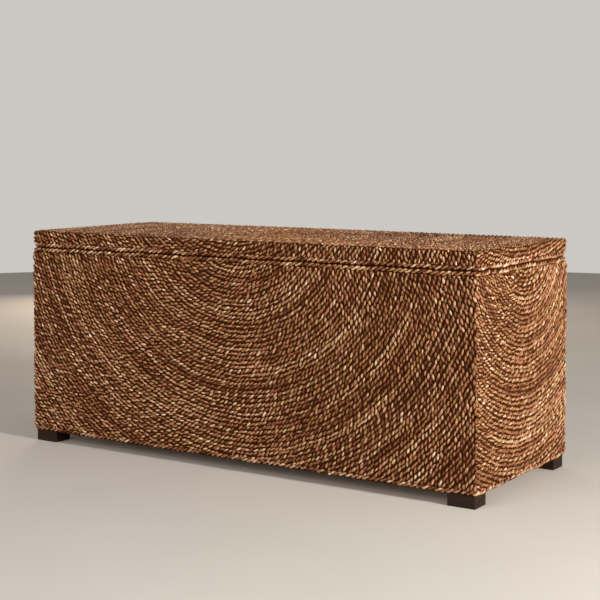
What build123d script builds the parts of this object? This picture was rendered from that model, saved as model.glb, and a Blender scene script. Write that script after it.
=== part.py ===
from build123d import *
import os
from math import asin, cos, degrees, radians, sin, sqrt

# Wicker storage trunk. Millimetres, +Z up, +X to the trunk's right, -Y is the front.
# The origin is on the floor, under the middle of the trunk.

# ---- driving dimensions ----
LENGTH = 1067.0
DEPTH = 406.0
HEIGHT = 457.0
FOOT_HEIGHT = 24.0
SEAM_HEIGHT = 422.0
SEAM_GAP = 2.0
LID_INSET = 2.0
ROPE_SPACE = 8.5
ROPE_RADIUS = 4.1
CORNER_RADIUS = 8.0

# ---- wooden carcass ----
BOARD = 12.0
POST = 30.0
RAIL_WIDTH = 20.0
TOP_RAIL_HEIGHT = 45.0
BOTTOM_RAIL_HEIGHT = 25.0
FLOOR_BOARD = 9.0
FLOOR_BATTEN_WIDTH = 40.0
FLOOR_BATTEN_PLACE = 171.0
EASED_EDGE = 1.0

# ---- feet ----
FOOT_LENGTH = 56.0
FOOT_DEPTH = 44.0
FOOT_INSET = 5.0
FOOT_SCREW_SPREAD = 13.0
FOOT_SCREW_LENGTH = 40.0
FOOT_SCREW_RECESS = 3.0

# ---- lid ----
LID_BOARD = 9.0
LID_BATTEN_WIDTH = 30.0
LID_EDGE_RADIUS = 5.0
LID_OPEN_ANGLE = 95.0

# ---- butt hinges ----
HINGE_PLACES = {"left": -380.0, "centre": 0.0, "right": 380.0}
HINGE_LENGTH = 60.0
HINGE_SETBACK = 4.0
LEAF_REACH = 41.0
LEAF_THICKNESS = 1.5
LEAF_PLAY = 0.1
KNUCKLE_COUNT = 5
KNUCKLE_RADIUS = 3.2
KNUCKLE_PLAY = 0.3
HINGE_PIN_RADIUS = 1.4
RUNNING_PLAY = 0.05
HINGE_SCREW_PITCH = 20.0
HINGE_SCREW_LENGTH = 25.0
LID_SCREW_LENGTH = 14.0

# ---- slotted lid stays ----
STAY_RADIUS = 150.0
STAY_LID_RISE = 9.0
STAY_BODY_DROP = 34.0
STAY_WIDTH = 14.0
STAY_THICKNESS = 2.0
STAY_SLOT_WIDTH = 5.2
STAY_END_MARGIN = 3.0
STUD_RADIUS = 2.4
STUD_HEAD_RADIUS = 5.0
STUD_HEAD_THICKNESS = 1.8
STUD_COLLAR = 2.3
STUD_SHANK_RADIUS = 2.0
STUD_SHANK_LENGTH = 15.0
STUD_PLAY = 0.2

# ---- wood screws and bumpers ----
SCREW_RADIUS = 1.6
SCREW_HEAD_RADIUS = 3.0
SCREW_HOLE_RADIUS = 1.75
SCREW_HEAD_DEPTH = 1.4
BUMPER_RADIUS = 5.0
BUMPER_THICKNESS = 1.7

# ---- places worked out from the sizes above ----
HALF_LENGTH = LENGTH / 2
HALF_DEPTH = DEPTH / 2
CORE_X = HALF_LENGTH - ROPE_SPACE
CORE_Y = HALF_DEPTH - ROPE_SPACE
INSIDE_X = CORE_X - BOARD
INSIDE_Y = CORE_Y - BOARD
RIM_X = INSIDE_X - RAIL_WIDTH
RIM_Y = INSIDE_Y - RAIL_WIDTH
POST_X = INSIDE_X - POST
POST_Y = INSIDE_Y - POST
BODY_BOTTOM = FOOT_HEIGHT
BODY_TOP = SEAM_HEIGHT - SEAM_GAP / 2
LID_BOTTOM = SEAM_HEIGHT + SEAM_GAP / 2
LID_HALF_LENGTH = HALF_LENGTH - LID_INSET
LID_HALF_DEPTH = HALF_DEPTH - LID_INSET
LID_CORE_X = CORE_X - LID_INSET
LID_CORE_Y = CORE_Y - LID_INSET
LID_BOARD_TOP = HEIGHT - ROPE_SPACE
LID_BOARD_BOTTOM = LID_BOARD_TOP - LID_BOARD
HINGE_Y = HALF_DEPTH + HINGE_SETBACK
LEAF_START = HINGE_Y - LEAF_REACH
LEAF_END = HINGE_Y - KNUCKLE_RADIUS - KNUCKLE_PLAY
BODY_LEAF_BOTTOM = SEAM_HEIGHT - LEAF_PLAY - LEAF_THICKNESS
LID_LEAF_BOTTOM = SEAM_HEIGHT + LEAF_PLAY
LID_LEAF_TOP = LID_LEAF_BOTTOM + LEAF_THICKNESS
STUD_FACE_X = RIM_X - STUD_COLLAR

SIDES = {"left": -1, "right": 1}
ENDS = {"front": -1, "back": 1}


def save(piece, name):
    """Labels one finished piece and writes it as its own file."""
    piece.label = name
    export_step(piece, f"parts/{name}.step")


def block(x_range, y_range, z_range, eased=0.0):
    """A squared length of wood or board that fills the three given ranges."""
    middle = (sum(x_range) / 2, sum(y_range) / 2, min(z_range))
    with BuildPart() as piece:
        with BuildSketch(Plane(origin=middle)):
            Rectangle(abs(x_range[1] - x_range[0]), abs(y_range[1] - y_range[0]))
        extrude(amount=abs(z_range[1] - z_range[0]))
        if eased:
            chamfer(piece.edges(), eased)
    return piece.part


def leaf_seats(bottom, top):
    """The three shallow spaces that the hinge leaves lie in, between two heights."""
    start = LEAF_START - LEAF_PLAY
    with BuildPart() as seats:
        with BuildSketch(Plane(origin=(0, (start + HINGE_Y) / 2, bottom))):
            with Locations(*[(place, 0) for place in HINGE_PLACES.values()]):
                Rectangle(HINGE_LENGTH + 2 * LEAF_PLAY, HINGE_Y - start)
        extrude(amount=top - bottom)
    return seats.part


BODY_LEAF_SEATS = leaf_seats(BODY_LEAF_BOTTOM, SEAM_HEIGHT)
LID_LEAF_SEATS = leaf_seats(SEAM_HEIGHT, LID_LEAF_TOP)


# ---- body: boards, posts, rails and floor ----
def make_body_boards():
    """The two long boards run past the two end boards, which stand between them."""
    height = (BODY_BOTTOM, BODY_TOP)
    front = block((-CORE_X, CORE_X), (-CORE_Y, -INSIDE_Y), height)
    save(front, "front_panel")
    for name, side in SIDES.items():
        end_board = block((side * INSIDE_X, side * CORE_X), (-INSIDE_Y, INSIDE_Y), height)
        save(end_board, f"{name}_panel")


def make_back_board():
    """The back board, with a shallow seat in its top edge at each hinge."""
    with BuildPart() as back_panel:
        with BuildSketch(Plane(origin=(0, (CORE_Y + INSIDE_Y) / 2, BODY_BOTTOM))):
            Rectangle(2 * CORE_X, BOARD)
        extrude(amount=BODY_TOP - BODY_BOTTOM)
        add(BODY_LEAF_SEATS, mode=Mode.SUBTRACT)
    save(back_panel.part, "back_panel")


def make_posts():
    """Four corner posts that join the boards and carry the feet."""
    for side_name, side in SIDES.items():
        for end_name, end in ENDS.items():
            post = block(
                (side * POST_X, side * INSIDE_X),
                (end * POST_Y, end * INSIDE_Y),
                (BODY_BOTTOM, BODY_TOP),
                eased=EASED_EDGE,
            )
            save(post, f"corner_post_{end_name}_{side_name}")


def make_rails():
    """Rails around the rim and around the bottom, between the posts."""
    levels = {
        "top_rail": (BODY_TOP - TOP_RAIL_HEIGHT, BODY_TOP),
        "bottom_rail": (BODY_BOTTOM, BODY_BOTTOM + BOTTOM_RAIL_HEIGHT),
    }
    for level_name, height in levels.items():
        for name, side in SIDES.items():
            rail = block((side * RIM_X, side * INSIDE_X), (-POST_Y, POST_Y), height, EASED_EDGE)
            save(rail, f"{level_name}_{name}")
        rail = block((-POST_X, POST_X), (-RIM_Y, -INSIDE_Y), height, EASED_EDGE)
        save(rail, f"{level_name}_front")
    back_rail = block((-POST_X, POST_X), (RIM_Y, INSIDE_Y), levels["bottom_rail"], EASED_EDGE)
    save(back_rail, "bottom_rail_back")


def make_hinge_rail():
    """The back rim rail, which takes the screws of the hinges."""
    with BuildPart() as hinge_rail:
        with BuildSketch(Plane(origin=(0, (RIM_Y + INSIDE_Y) / 2, BODY_TOP - TOP_RAIL_HEIGHT))):
            Rectangle(2 * POST_X, RAIL_WIDTH)
        extrude(amount=TOP_RAIL_HEIGHT)
        chamfer(hinge_rail.edges(), EASED_EDGE)
        add(BODY_LEAF_SEATS, mode=Mode.SUBTRACT)
    save(hinge_rail.part, "top_rail_back")


def make_floor():
    """The floor board lies on the bottom rails and two battens, notched around the posts."""
    floor_bottom = BODY_BOTTOM + BOTTOM_RAIL_HEIGHT
    with BuildPart() as floor_panel:
        with BuildSketch(Plane.XY.offset(floor_bottom)):
            Rectangle(2 * INSIDE_X, 2 * INSIDE_Y)
            with GridLocations(2 * INSIDE_X - POST, 2 * INSIDE_Y - POST, 2, 2):
                Rectangle(POST, POST, mode=Mode.SUBTRACT)
        extrude(amount=FLOOR_BOARD)
    save(floor_panel.part, "floor_panel")
    half_width = FLOOR_BATTEN_WIDTH / 2
    for name, side in SIDES.items():
        middle = side * FLOOR_BATTEN_PLACE
        batten = block(
            (middle - half_width, middle + half_width),
            (-RIM_Y, RIM_Y),
            (BODY_BOTTOM, floor_bottom),
        )
        save(batten, f"floor_batten_{name}")


# ---- feet ----
FOOT_X = HALF_LENGTH - FOOT_INSET - FOOT_LENGTH / 2
FOOT_Y = HALF_DEPTH - FOOT_INSET - FOOT_DEPTH / 2
FOOT_SCREW_X = POST_X + POST / 2
FOOT_SCREW_Y = POST_Y + POST / 2


def foot_screw_places(side, end):
    """Two screws on a diagonal of the corner post above the foot."""
    offset = FOOT_SCREW_SPREAD / 2
    near = (side * (FOOT_SCREW_X - offset), end * (FOOT_SCREW_Y - offset))
    far = (side * (FOOT_SCREW_X + offset), end * (FOOT_SCREW_Y + offset))
    return near, far


def make_feet():
    """Four low blocks, each with two screw holes sunk in from below."""
    for side_name, side in SIDES.items():
        for end_name, end in ENDS.items():
            with BuildPart() as foot:
                with BuildSketch(Plane(origin=(side * FOOT_X, end * FOOT_Y, 0))):
                    RectangleRounded(FOOT_LENGTH, FOOT_DEPTH, 2 * EASED_EDGE)
                extrude(amount=FOOT_HEIGHT)
                chamfer(foot.faces().sort_by(Axis.Z)[0].edges(), EASED_EDGE)
                for x, y in foot_screw_places(side, end):
                    with BuildSketch(Plane(origin=(x, y, 0))):
                        Circle(SCREW_HOLE_RADIUS)
                    extrude(amount=FOOT_HEIGHT, mode=Mode.SUBTRACT)
                    with BuildSketch(Plane(origin=(x, y, 0))):
                        Circle(SCREW_HEAD_RADIUS + 2 * LEAF_PLAY)
                    extrude(amount=FOOT_SCREW_RECESS + SCREW_HEAD_DEPTH, mode=Mode.SUBTRACT)
            save(foot.part, f"foot_{end_name}_{side_name}")


def screws(places, head_z, length, up):
    """Countersunk screws at the given places, their shanks pointing up or down from the heads."""
    turn = 1 if up else -1
    with BuildPart() as group:
        with BuildSketch(Plane(origin=(0, 0, head_z), x_dir=(1, 0, 0), z_dir=(0, 0, turn))):
            with Locations(*[(x, turn * y) for x, y in places]):
                Circle(SCREW_HEAD_RADIUS)
        extrude(amount=SCREW_HEAD_DEPTH, taper=45)
        shank_z = head_z + turn * SCREW_HEAD_DEPTH
        with BuildSketch(Plane(origin=(0, 0, shank_z), x_dir=(1, 0, 0), z_dir=(0, 0, turn))):
            with Locations(*[(x, turn * y) for x, y in places]):
                Circle(SCREW_RADIUS)
        extrude(amount=length - SCREW_HEAD_DEPTH)
    return group.part


def make_foot_screws():
    """Eight screws that hold the feet to the corner posts."""
    places = []
    for side in SIDES.values():
        for end in ENDS.values():
            places.extend(foot_screw_places(side, end))
    save(screws(places, FOOT_SCREW_RECESS, FOOT_SCREW_LENGTH, up=True), "foot_screws")


# ---- rope covering ----
def make_body_weave():
    """Four flat coverings of rope laid side by side, mitred where they meet at the corners."""
    inner = {"front": (0, -1), "back": (0, 1), "left": (-1, 0), "right": (1, 0)}
    low = BODY_BOTTOM + ROPE_SPACE
    high = BODY_TOP - ROPE_SPACE
    for name, (along_x, along_y) in inner.items():
        with BuildPart() as weave:
            with BuildSketch(Plane.XY.offset(low)):
                RectangleRounded(LENGTH, DEPTH, CORNER_RADIUS)
                Rectangle(2 * CORE_X, 2 * CORE_Y, mode=Mode.SUBTRACT)
                with BuildLine():
                    Polyline(*mitre_wedge(along_x, along_y), close=True)
                make_face(mode=Mode.INTERSECT)
            extrude(amount=high - low)
        save(weave.part, f"{name}_weave")


def mitre_wedge(along_x, along_y):
    """The area that one covering owns: it spreads at 45 degrees past the carcass corners."""
    reach = 2 * ROPE_SPACE
    if along_x:
        return (
            (0, -1),
            (along_x * CORE_X, -CORE_Y),
            (along_x * (CORE_X + reach), -CORE_Y - reach),
            (along_x * (CORE_X + reach), CORE_Y + reach),
            (along_x * CORE_X, CORE_Y),
            (0, 1),
        )
    return (
        (-1, 0),
        (-CORE_X, along_y * CORE_Y),
        (-CORE_X - reach, along_y * (CORE_Y + reach)),
        (CORE_X + reach, along_y * (CORE_Y + reach)),
        (CORE_X, along_y * CORE_Y),
        (1, 0),
    )


def rope_ring(half_x, half_y, middle_z):
    """One rope laid around a rectangle, touching the outline (half_x, half_y) from inside."""
    path_x = half_x - ROPE_SPACE / 2
    path_y = half_y - ROPE_SPACE / 2
    with BuildSketch(Plane.XY.offset(middle_z)) as outline:
        RectangleRounded(2 * path_x, 2 * path_y, ROPE_SPACE / 2)
    path = outline.sketch.faces()[0].outer_wire()
    with BuildPart() as ring:
        with BuildSketch(Plane(origin=path @ 0, z_dir=path % 0)):
            Circle(ROPE_RADIUS)
        sweep(path=path)
    return ring.part


def make_edge_ropes():
    """Three single ropes: around the bottom edge, around the rim and around the lid's edge."""
    half_space = ROPE_SPACE / 2
    bottom_rope = rope_ring(HALF_LENGTH, HALF_DEPTH, BODY_BOTTOM + half_space)
    save(bottom_rope, "bottom_edge_rope")
    with BuildPart() as rim_rope:
        add(rope_ring(HALF_LENGTH, HALF_DEPTH, BODY_TOP - half_space))
        add(BODY_LEAF_SEATS, mode=Mode.SUBTRACT)
    save(rim_rope.part, "body_rim_rope")
    with BuildPart() as lid_rope:
        add(rope_ring(LID_HALF_LENGTH, LID_HALF_DEPTH, LID_BOTTOM + half_space))
        add(LID_LEAF_SEATS, mode=Mode.SUBTRACT)
    save(lid_rope.part, "lid_rim_rope")


# ---- lid ----
def make_lid_frame():
    """A top board on four flat rails, with one batten across the middle."""
    lid_board = block(
        (-LID_CORE_X, LID_CORE_X), (-LID_CORE_Y, LID_CORE_Y), (LID_BOARD_BOTTOM, LID_BOARD_TOP)
    )
    save(lid_board, "lid_panel")
    height = (LID_BOTTOM, LID_BOARD_BOTTOM)
    for name, side in SIDES.items():
        rail = block((side * RIM_X, side * LID_CORE_X), (-RIM_Y, RIM_Y), height)
        save(rail, f"lid_rail_{name}")
    front_rail = block((-LID_CORE_X, LID_CORE_X), (-LID_CORE_Y, -RIM_Y), height)
    save(front_rail, "lid_rail_front")
    half_batten = LID_BATTEN_WIDTH / 2
    batten = block((-half_batten, half_batten), (-RIM_Y, RIM_Y), height)
    save(batten, "lid_batten")


def make_lid_hinge_rail():
    """The lid's back rail, with a shallow seat in its underside at each hinge."""
    with BuildPart() as lid_rail_back:
        with BuildSketch(Plane(origin=(0, (LID_CORE_Y + RIM_Y) / 2, LID_BOTTOM))):
            Rectangle(2 * LID_CORE_X, LID_CORE_Y - RIM_Y)
        extrude(amount=LID_BOARD_BOTTOM - LID_BOTTOM)
        add(LID_LEAF_SEATS, mode=Mode.SUBTRACT)
    save(lid_rail_back.part, "lid_rail_back")


def make_lid_weave():
    """The lid's rope covering: a shallow tray turned over the lid, open underneath."""
    low = LID_BOTTOM + ROPE_SPACE
    with BuildPart() as lid_weave:
        with BuildSketch(Plane.XY.offset(low)):
            RectangleRounded(2 * LID_HALF_LENGTH, 2 * LID_HALF_DEPTH, CORNER_RADIUS)
        extrude(amount=HEIGHT - low)
        fillet(lid_weave.faces().sort_by(Axis.Z)[-1].edges(), LID_EDGE_RADIUS)
        with BuildSketch(Plane.XY.offset(low)):
            Rectangle(2 * LID_CORE_X, 2 * LID_CORE_Y)
        extrude(amount=LID_BOARD_TOP - low, mode=Mode.SUBTRACT)
    save(lid_weave.part, "lid_weave")


# ---- hinges ----
KNUCKLE_PITCH = HINGE_LENGTH / KNUCKLE_COUNT
KNUCKLE_LENGTH = KNUCKLE_PITCH - KNUCKLE_PLAY


def hinge_screw_places(place):
    """Three screws in a row along one leaf."""
    y = (RIM_Y + INSIDE_Y) / 2
    return [(place + step * HINGE_SCREW_PITCH, y) for step in (-1, 0, 1)]


def make_hinge_leaf(name, place, leaf_bottom, knuckles, heads_below):
    """One leaf with its own knuckles, its countersunk screw holes and the bore for the pin."""
    starts = [place - HINGE_LENGTH / 2 + number * KNUCKLE_PITCH + KNUCKLE_PLAY / 2 for number in knuckles]
    turn = 1 if heads_below else -1
    head_z = leaf_bottom if heads_below else leaf_bottom + LEAF_THICKNESS
    with BuildPart() as leaf:
        with BuildSketch(Plane(origin=(place, (LEAF_START + LEAF_END) / 2, leaf_bottom))):
            RectangleRounded(HINGE_LENGTH, LEAF_END - LEAF_START, EASED_EDGE)
        extrude(amount=LEAF_THICKNESS)
        for start in starts:
            with BuildSketch(Plane(origin=(start, HINGE_Y, SEAM_HEIGHT), z_dir=(1, 0, 0))):
                Circle(KNUCKLE_RADIUS)
            extrude(amount=KNUCKLE_LENGTH)
            neck_start = LEAF_END - 2 * LEAF_THICKNESS
            neck = (start + KNUCKLE_LENGTH / 2, (neck_start + HINGE_Y) / 2, leaf_bottom)
            with BuildSketch(Plane(origin=neck)):
                Rectangle(KNUCKLE_LENGTH, HINGE_Y - neck_start)
            extrude(amount=LEAF_THICKNESS)
        with BuildSketch(Plane(origin=(place - HINGE_LENGTH, HINGE_Y, SEAM_HEIGHT), z_dir=(1, 0, 0))):
            Circle(HINGE_PIN_RADIUS + RUNNING_PLAY)
        extrude(amount=2 * HINGE_LENGTH, mode=Mode.SUBTRACT)
        for x, y in hinge_screw_places(place):
            with BuildSketch(Plane(origin=(x, y, head_z), z_dir=(0, 0, turn))):
                Circle(SCREW_HEAD_RADIUS + 2 * LEAF_PLAY)
            with BuildSketch(Plane(origin=(x, y, head_z + turn * LEAF_THICKNESS), z_dir=(0, 0, turn))):
                Circle(SCREW_HOLE_RADIUS)
            loft(mode=Mode.SUBTRACT)
    save(leaf.part, name)


def make_hinge_pin(name, place):
    """The pin runs through all the knuckles."""
    with BuildPart() as pin:
        with BuildSketch(Plane(origin=(place - HINGE_LENGTH / 2, HINGE_Y, SEAM_HEIGHT), z_dir=(1, 0, 0))):
            Circle(HINGE_PIN_RADIUS)
        extrude(amount=HINGE_LENGTH)
    save(pin.part, name)


def make_hinges():
    """Three butt hinges: the body's leaf has the outer knuckles, the lid's leaf the others."""
    body_knuckles = range(0, KNUCKLE_COUNT, 2)
    lid_knuckles = range(1, KNUCKLE_COUNT, 2)
    for name, place in HINGE_PLACES.items():
        make_hinge_leaf(f"hinge_body_leaf_{name}", place, BODY_LEAF_BOTTOM, body_knuckles, False)
        make_hinge_leaf(f"hinge_lid_leaf_{name}", place, LID_LEAF_BOTTOM, lid_knuckles, True)
        make_hinge_pin(f"hinge_pin_{name}", place)


def make_hinge_screws():
    """Nine screws down into the body and nine up into the lid, their heads just under flush."""
    places = []
    for place in HINGE_PLACES.values():
        places.extend(hinge_screw_places(place))
    body_head = SEAM_HEIGHT - 2 * LEAF_PLAY
    lid_head = SEAM_HEIGHT + 2 * LEAF_PLAY
    save(screws(places, body_head, HINGE_SCREW_LENGTH, up=False), "hinge_body_screws")
    save(screws(places, lid_head, LID_SCREW_LENGTH, up=True), "hinge_lid_screws")


# ---- lid stays ----
# The stud on the body and the pivot on the lid are equally far from the hinge line, so the line
# that joins them turns by exactly half the lid's angle.
STAY_LID_Y = HINGE_Y - sqrt(STAY_RADIUS**2 - STAY_LID_RISE**2)
STAY_LID_Z = SEAM_HEIGHT + STAY_LID_RISE
STAY_BODY_Y = HINGE_Y - sqrt(STAY_RADIUS**2 - STAY_BODY_DROP**2)
STAY_BODY_Z = SEAM_HEIGHT - STAY_BODY_DROP
CLOSED_ANGLE = degrees(asin(STAY_LID_RISE / STAY_RADIUS) + asin(STAY_BODY_DROP / STAY_RADIUS))
CLOSED_SPAN = 2 * STAY_RADIUS * sin(radians(CLOSED_ANGLE / 2))
OPEN_SPAN = 2 * STAY_RADIUS * sin(radians((CLOSED_ANGLE + LID_OPEN_ANGLE) / 2))


def make_stud(name, side, y, z):
    """A shouldered screw: shank in the rail, collar, shaft for the arm, and a flat head."""
    steps = (
        (RIM_X + STUD_SHANK_LENGTH, STUD_SHANK_RADIUS, STUD_SHANK_LENGTH),
        (RIM_X, STUD_HEAD_RADIUS, STUD_COLLAR),
        (STUD_FACE_X, STUD_RADIUS, STAY_THICKNESS + 2 * STUD_PLAY),
        (STUD_FACE_X - STAY_THICKNESS - 2 * STUD_PLAY, STUD_HEAD_RADIUS, STUD_HEAD_THICKNESS),
    )
    with BuildPart() as stud:
        for x, radius, length in steps:
            with BuildSketch(Plane(origin=(side * x, y, z), z_dir=(-side, 0, 0))):
                Circle(radius)
            extrude(amount=length)
    save(stud.part, name)


def make_stay_arm(name, side):
    """A flat arm: a round eye on the lid's pivot, then a long slot that slides on the stud."""
    along = ((STAY_BODY_Y - STAY_LID_Y) / CLOSED_SPAN, (STAY_BODY_Z - STAY_LID_Z) / CLOSED_SPAN)
    near = CLOSED_SPAN - STAY_END_MARGIN
    reach = OPEN_SPAN + STAY_END_MARGIN
    face = Plane(
        origin=(side * (STUD_FACE_X - STUD_PLAY), STAY_LID_Y, STAY_LID_Z),
        x_dir=(0, *along),
        z_dir=(-side, 0, 0),
    )
    with BuildPart() as arm:
        with BuildSketch(face):
            with Locations((reach / 2, 0)):
                SlotCenterToCenter(reach, STAY_WIDTH)
            Circle(STUD_RADIUS + RUNNING_PLAY, mode=Mode.SUBTRACT)
            with Locations(((near + OPEN_SPAN) / 2, 0)):
                SlotCenterToCenter(OPEN_SPAN - near, STAY_SLOT_WIDTH, mode=Mode.SUBTRACT)
        extrude(amount=STAY_THICKNESS)
    save(arm.part, name)


def make_stays():
    """One slotted stay at each end of the trunk."""
    for name, side in SIDES.items():
        make_stud(f"stay_body_stud_{name}", side, STAY_BODY_Y, STAY_BODY_Z)
        make_stud(f"stay_lid_pivot_{name}", side, STAY_LID_Y, STAY_LID_Z)
        make_stay_arm(f"stay_arm_{name}", side)


def make_bumpers():
    """Two thin rubber discs on the front rim, which the closed lid comes down on."""
    with BuildPart() as bumpers:
        for side in SIDES.values():
            x = side * (POST_X - POST)
            with BuildSketch(Plane(origin=(x, -(RIM_Y + INSIDE_Y) / 2, BODY_TOP))):
                Circle(BUMPER_RADIUS)
            extrude(amount=BUMPER_THICKNESS)
    save(bumpers.part, "rim_bumpers")


os.makedirs("parts", exist_ok=True)
make_body_boards()
make_back_board()
make_posts()
make_rails()
make_hinge_rail()
make_floor()
make_feet()
make_foot_screws()
make_body_weave()
make_edge_ropes()
make_lid_frame()
make_lid_hinge_rail()
make_lid_weave()
make_hinges()
make_hinge_screws()
make_stays()
make_bumpers()
print("stay pivot on the lid", round(STAY_LID_Y, 3), STAY_LID_Z)
print("stud on the body", round(STAY_BODY_Y, 3), STAY_BODY_Z)
print("span closed", round(CLOSED_SPAN, 2), "open", round(OPEN_SPAN, 2))
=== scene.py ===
# %% [markdown]
# # A rope-covered storage trunk
#
# The wooden box, its lid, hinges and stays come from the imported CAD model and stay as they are.
# This lesson gives them their finishes, and makes what CAD only stood in for: the rows of twisted
# plant rope that cover every side, and the single ropes that run round the edges.

# %% Load the frame and note its size
import math

import bpy
import numpy as np
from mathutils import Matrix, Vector


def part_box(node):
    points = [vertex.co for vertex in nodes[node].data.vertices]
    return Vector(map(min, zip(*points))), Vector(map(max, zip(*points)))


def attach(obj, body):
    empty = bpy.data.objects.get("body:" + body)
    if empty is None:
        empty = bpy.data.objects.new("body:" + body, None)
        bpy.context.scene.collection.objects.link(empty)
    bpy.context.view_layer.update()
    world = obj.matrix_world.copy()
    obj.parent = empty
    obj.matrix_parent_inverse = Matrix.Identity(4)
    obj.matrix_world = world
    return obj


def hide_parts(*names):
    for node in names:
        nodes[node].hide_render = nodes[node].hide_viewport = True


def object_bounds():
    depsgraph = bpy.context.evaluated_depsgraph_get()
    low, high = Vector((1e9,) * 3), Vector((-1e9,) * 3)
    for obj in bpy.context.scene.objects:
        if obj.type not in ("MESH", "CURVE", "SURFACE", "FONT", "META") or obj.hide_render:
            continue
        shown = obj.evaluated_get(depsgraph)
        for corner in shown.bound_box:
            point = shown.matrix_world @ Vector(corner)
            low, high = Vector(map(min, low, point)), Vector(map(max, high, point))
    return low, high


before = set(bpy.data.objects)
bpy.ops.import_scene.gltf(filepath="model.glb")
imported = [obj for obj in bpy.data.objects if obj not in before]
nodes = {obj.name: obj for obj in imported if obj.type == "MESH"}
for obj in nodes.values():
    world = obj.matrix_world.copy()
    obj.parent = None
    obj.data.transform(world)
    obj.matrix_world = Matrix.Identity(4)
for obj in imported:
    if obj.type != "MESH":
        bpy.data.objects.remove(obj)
cad_low, cad_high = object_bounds()
MM = 0.001
print("CAD box", tuple(cad_low), tuple(cad_high))

# %% [markdown]
# ## Camera
#
# Furniture looks calm from a little above seat height through a long lens, because the long side
# stays upright. The camera could be tilted down at the trunk, but then
# upright edges lean. A small tilt with a small lens shift keeps them nearly upright and still leaves
# the trunk well inside the frame from every other side.

# %% Camera
CAMERA_PLACE = (1.583, -2.3645, 0.643)
CAMERA_TURN = math.radians(33.32)
CAMERA_TILT = math.radians(-2.705)
CAMERA_LENS = 82.2
CAMERA_SHIFT = -0.15

bpy.ops.object.select_all(action="DESELECT")
bpy.ops.object.camera_add(location=CAMERA_PLACE, rotation=(math.pi / 2 + CAMERA_TILT, 0, CAMERA_TURN))
camera = bpy.context.active_object
camera.name = "camera"
camera.data.lens = CAMERA_LENS
camera.data.shift_y = CAMERA_SHIFT
camera.data.clip_end = 50
bpy.context.scene.camera = camera
print("camera at", tuple(round(v, 3) for v in camera.location))

# %% [markdown]
# ## Shader arithmetic
#
# A finish is made by sums: noise times a strength, plus a ramp, and so on. Node by node that is
# hard to read, so one small class stands for a socket and understands +, -, * and /. A
# second class is the finish itself: it has one method that adds any node.

# %% A socket that understands sums, and a finish that makes nodes
class Wire:
    """One output of a node. Arithmetic on it adds Math nodes."""

    def __init__(self, finish, socket):
        self.finish = finish
        self.socket = socket

    def math(self, operation, first, second):
        values = {0: first, 1: second}
        return self.finish.node("ShaderNodeMath", {"operation": operation}, values)

    def __add__(self, other):
        return self.math("ADD", self, other)

    def __radd__(self, other):
        return self.math("ADD", other, self)

    def __sub__(self, other):
        return self.math("SUBTRACT", self, other)

    def __rsub__(self, other):
        return self.math("SUBTRACT", other, self)

    def __mul__(self, other):
        return self.math("MULTIPLY", self, other)

    def __rmul__(self, other):
        return self.math("MULTIPLY", other, self)

    def __truediv__(self, other):
        return self.math("DIVIDE", self, other)


class Finish:
    """A material built around one Principled shader."""

    def __init__(self, name, **constants):
        self.material = bpy.data.materials.new(name)
        self.material.use_nodes = True
        self.tree = self.material.node_tree
        self.shader = self.tree.nodes["Principled BSDF"]
        for socket, value in constants.items():
            self.shader.inputs[socket.replace("_", " ")].default_value = value

    def node(self, kind, settings=None, values=None, output=0):
        """Adds a node, gives it its settings, then its values or links, and returns one output."""
        made = self.tree.nodes.new(kind)
        for setting, value in (settings or {}).items():
            if setting == "stops":
                self.set_stops(made.color_ramp, value)
            else:
                setattr(made, setting, value)
        for socket, value in (values or {}).items():
            self.feed(made.inputs[socket], value)
        return Wire(self, made.outputs[output])

    def set_stops(self, ramp, stops):
        """Gives a colour ramp its stops, each a place and a colour."""
        while len(ramp.elements) < len(stops):
            ramp.elements.new(0.5)
        for element, (place, colour) in zip(ramp.elements, stops):
            element.position = place
            element.color = (*colour, 1)

    def feed(self, socket, value):
        """Links a wire to a socket, or sets a plain value on it."""
        if isinstance(value, Wire):
            self.tree.links.new(value.socket, socket)
        else:
            socket.default_value = value

    def ramp(self, factor, *stops):
        """A colour that depends on one number."""
        return self.node("ShaderNodeValToRGB", {"stops": stops}, {"Fac": factor})

    def mix(self, factor, first, second, blend="MIX"):
        """A mix of two colours."""
        settings = {"data_type": "RGBA", "blend_type": blend}
        values = {"Factor": factor, 6: first, 7: second}
        return self.node("ShaderNodeMix", settings, values, output=2)

    def noise(self, place, scale, detail=3.0, roughness=0.5, stretch=(1, 1, 1)):
        """Cloudy noise. A large stretch on one axis draws the clouds out at right angles to it."""
        mapped = self.node("ShaderNodeMapping", {}, {"Vector": place, "Scale": stretch})
        values = {"Vector": mapped, "Scale": scale, "Detail": detail, "Roughness": roughness}
        return self.node("ShaderNodeTexNoise", {}, values)

    def math_step(self, value, low, high):
        """1 where a value lies between two numbers, and 0 elsewhere."""
        above = self.node("ShaderNodeMath", {"operation": "GREATER_THAN"}, {0: value, 1: low})
        below = self.node("ShaderNodeMath", {"operation": "LESS_THAN"}, {0: value, 1: high})
        return above * below

    def object_place(self):
        """Where a point is on its own piece, in metres."""
        return self.node("ShaderNodeTexCoord", output=3)

    def surface_place(self):
        """Where a point is on the piece's own UV map."""
        return self.node("ShaderNodeUVMap", {"uv_map": "UVMap"})

    def attribute(self, name):
        """One number that the mesh carries at each point."""
        return self.node("ShaderNodeAttribute", {"attribute_name": name}, output=2)

    def bump(self, height, depth, strength=1.0):
        """Roughens the surface: height is a pattern, depth is in metres."""
        values = {"Height": height, "Distance": depth, "Strength": strength}
        self.feed(self.shader.inputs["Normal"], self.node("ShaderNodeBump", {}, values))

    def set(self, socket, value):
        """Feeds one input of the shader."""
        self.feed(self.shader.inputs[socket], value)


print("shader helpers ready")

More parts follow.
